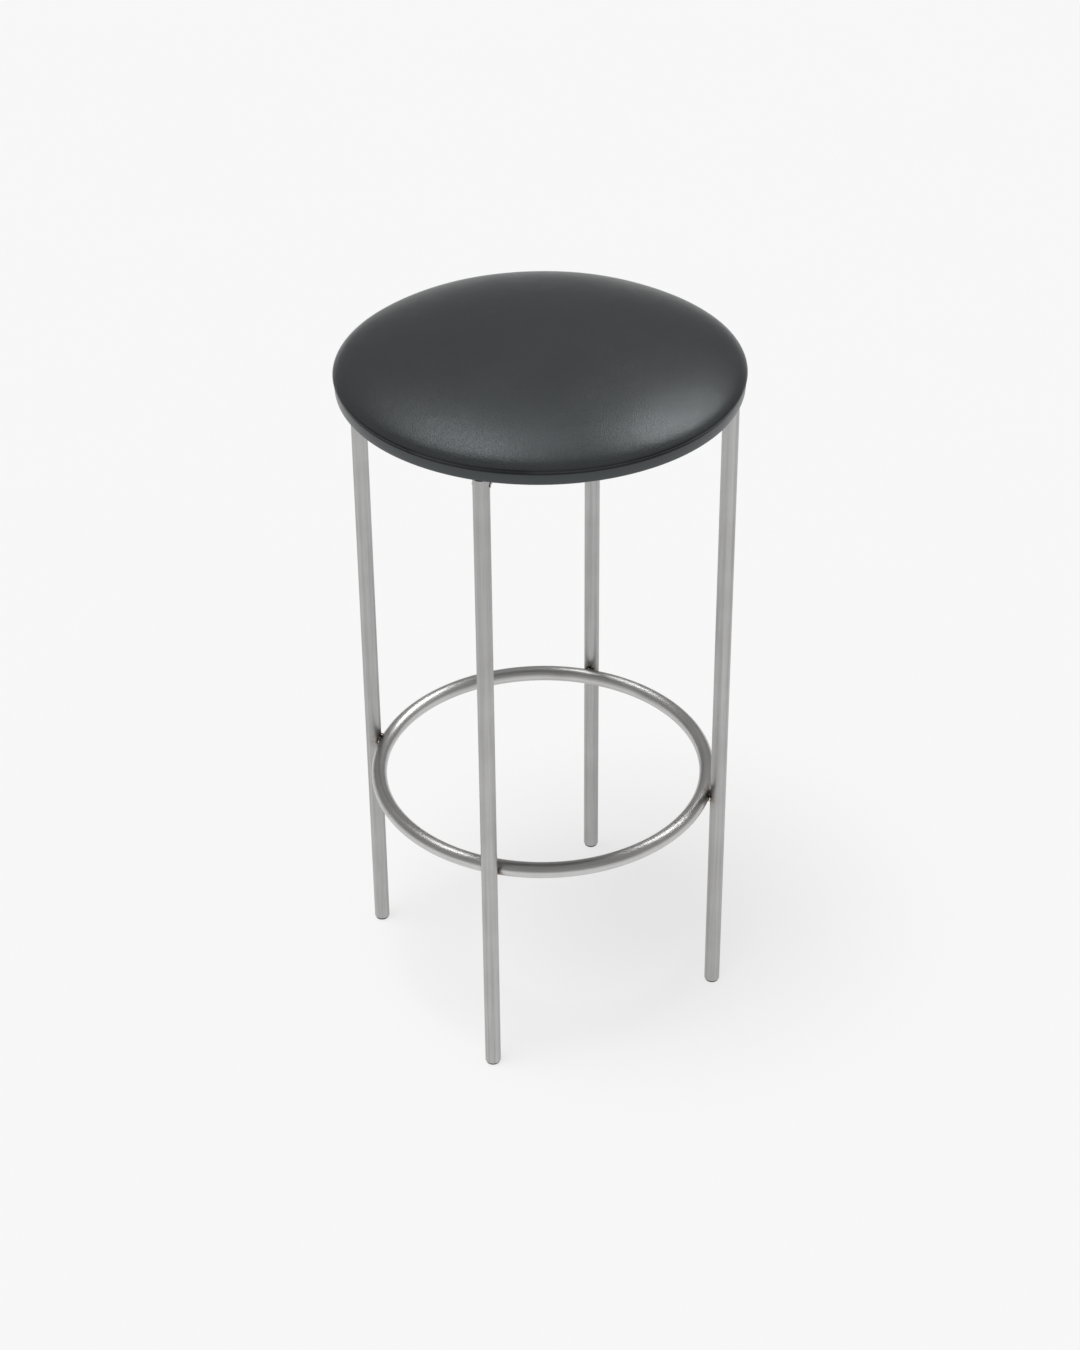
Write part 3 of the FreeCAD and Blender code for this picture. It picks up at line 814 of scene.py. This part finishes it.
def dress_cad():
    dress(brushed_steel("leg_steel", upright_grain, FRAME_FINISH), *LEGS)
    along_long = bar_grain(direction("leg_front_right"))
    dress(brushed_steel("long_bar_steel", along_long, FRAME_FINISH), "cross_bar_long")
    along_short = bar_grain(direction("leg_back_right"))
    dress(brushed_steel("short_bar_steel", along_short, FRAME_FINISH),
          "cross_bar_front_left", "cross_bar_back_right")
    ring = brushed_steel("ring_steel", ring_grain, RING_FINISH, ring_normal)
    dress(ring, "footrest_ring", "ring_butt_weld")
    dress(glide_plastic(), *(leg.replace("leg_", "glide_") for leg in LEGS))
    dress(plywood(), "seat_board")
    dress(plated("staple_wire", 0.55, 0.39), "hem_staples", "cloth_staples")
    dress(plated("zinc_steel", 0.60, 0.39, 0.01), "tee_nuts", "saddle_washers", "seat_screws")


# Pieces made here

def give(piece, material, slot, *nodes):
    """The finish, the body and the CAD nodes of one piece."""
    piece.data.materials.append(material)
    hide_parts(*nodes)
    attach(piece, "root")


def build_pieces():
    grid, dome_rows = seat_cover_grid()
    cover = seat_cover(grid)
    give(cover, leather(), "cover_leather", "seat_cover")
    pad = seat_pad(grid, dome_rows)
    give(pad, foam_material(), "pad_foam", "seat_foam")
    cloth = dust_cloth()
    give(cloth, dust_cloth_material(), "dust_cloth", "dust_cloth")
    bright = weld_steel()
    for beads, node in zip(weld_beads(), ("ring_leg_welds", "bar_leg_welds", "bar_centre_welds")):
        give(beads, bright, "weld_steel", node)


# Floor, light and camera

CAMERA_AZIMUTH = math.radians(-28.23)
CAMERA_DISTANCE = 2.317
CAMERA_HEIGHT = 1.974
CAMERA_PITCH = math.radians(32.06)
CAMERA_PAN = math.radians(-0.034)
CAMERA_ROLL = math.radians(0.46)
CAMERA_LENS = 73.71
CAMERA_SHIFT = -0.1
FLOOR_SIZE = 60.0
FLOOR_ALBEDO = 0.22
FLOOR_MOTTLE = 0.002
FLOOR_GLOW = 0.72
BACKDROP = 0.94
# Brightness of the room that the steel and leather reflect, from the horizon up to overhead
ROOM_TONES = ((0.0, grey(0.14, 0.02)), (0.45, grey(0.31, 0.01)), (1.0, grey(0.33)))
# Each light: azimuth and elevation in degrees, and strength
KEY_LIGHT = (-60, 79, 2.15)
KEY_WIDTH = 25
STRIPS = {"left_strip": (-150, 64, 0.40), "right_strip": (141, 51, 0.56)}
STRIP_WIDTH = 20


def around(azimuth_degrees, elevation_degrees, distance):
    """A place round the seat, its azimuth counted from the camera's: positive is to the camera's right."""
    turn = CAMERA_AZIMUTH + math.radians(azimuth_degrees)
    rise = math.radians(elevation_degrees)
    out = Vector((math.sin(turn) * math.cos(rise), -math.cos(turn) * math.cos(rise), math.sin(rise)))
    return out * distance


def far_light(name, azimuth, elevation, strength, width):
    """A softbox far enough off to light the whole floor alike. Its width is in degrees."""
    light = bpy.data.lights.new(name, "SUN")
    light.energy = strength
    light.angle = math.radians(width)
    lamp = bpy.data.objects.new(name, light)
    lamp.rotation_euler = around(azimuth, elevation, 1).to_track_quat("Z", "Y").to_euler()
    bpy.context.scene.collection.objects.link(lamp)
    return lamp


def floor_sheet():
    """A pale sheet that glows a little by itself, so that the shadows on it stay faint."""
    half = FLOOR_SIZE / 2
    corners = [(-half, -half, 0), (half, -half, 0), (half, half, 0), (-half, half, 0)]
    floor = new_object("studio_floor", corners, [(0, 1, 2, 3)], smooth=False)
    paper = Surface("studio_paper", Roughness=0.9, Specular_IOR_Level=0.0)
    tone = paper.noise(paper.place, 3, 2)
    colour = paper.mix(tone, grey(FLOOR_ALBEDO - FLOOR_MOTTLE), grey(FLOOR_ALBEDO + FLOOR_MOTTLE))
    paper.set(Base_Color=colour, Emission_Color=grey(1.0), Emission_Strength=FLOOR_GLOW)
    floor.data.materials.append(paper.material)


def sky():
    """A dim room round the stool, and the pale backdrop wherever the camera sees past the floor."""
    world = bpy.data.worlds.new("studio")
    bpy.context.scene.world = world
    world.use_nodes = True
    tree = world.node_tree
    tree.nodes.clear()
    output = tree.nodes.new("ShaderNodeOutputWorld")
    background = tree.nodes.new("ShaderNodeBackground")
    ramp = tree.nodes.new("ShaderNodeValToRGB")
    parts = tree.nodes.new("ShaderNodeSeparateXYZ")
    place = tree.nodes.new("ShaderNodeTexCoord")
    path = tree.nodes.new("ShaderNodeLightPath")
    mix = tree.nodes.new("ShaderNodeMix")
    mix.data_type = "RGBA"
    tree.links.new(place.outputs["Generated"], parts.inputs[0])
    tree.links.new(parts.outputs["Z"], ramp.inputs["Fac"])
    stops = ramp.color_ramp.elements
    low_tone, middle_tone, high_tone = ROOM_TONES
    stops[0].position, stops[0].color = low_tone
    stops[1].position, stops[1].color = high_tone
    stops.new(middle_tone[0]).color = middle_tone[1]
    tree.links.new(path.outputs["Is Camera Ray"], mix.inputs[0])
    tree.links.new(ramp.outputs["Color"], mix.inputs[6])
    mix.inputs[7].default_value = grey(BACKDROP)
    tree.links.new(mix.outputs[2], background.inputs["Color"])
    tree.links.new(background.outputs[0], output.inputs["Surface"])


def studio():
    floor_sheet()
    sky()
    far_light("key_light", *KEY_LIGHT, KEY_WIDTH).visible_glossy = False
    for name, strip in STRIPS.items():
        far_light(name, *strip, STRIP_WIDTH).visible_diffuse = False


def camera():
    data = bpy.data.cameras.new("camera")
    data.lens = CAMERA_LENS
    data.shift_y = CAMERA_SHIFT
    made = bpy.data.objects.new("camera", data)
    bpy.context.scene.collection.objects.link(made)
    made.location = around(0, 0, CAMERA_DISTANCE) + Vector((0, 0, CAMERA_HEIGHT))
    heading = CAMERA_AZIMUTH - CAMERA_PAN
    sine, cosine = math.sin(heading), math.cos(heading)
    level = math.cos(CAMERA_PITCH)
    forward = Vector((-sine * level, cosine * level, -math.sin(CAMERA_PITCH)))
    right = Vector((cosine, sine, 0))
    up = right.cross(forward)
    turn = Matrix((right, up, -forward)).transposed() @ Matrix.Rotation(-CAMERA_ROLL, 3, "Z")
    made.rotation_mode = "QUATERNION"
    made.rotation_quaternion = turn.to_quaternion()
    bpy.context.scene.camera = made


dress_cad()
build_pieces()
studio()
camera()
bpy.context.scene.view_settings.view_transform = "Standard"
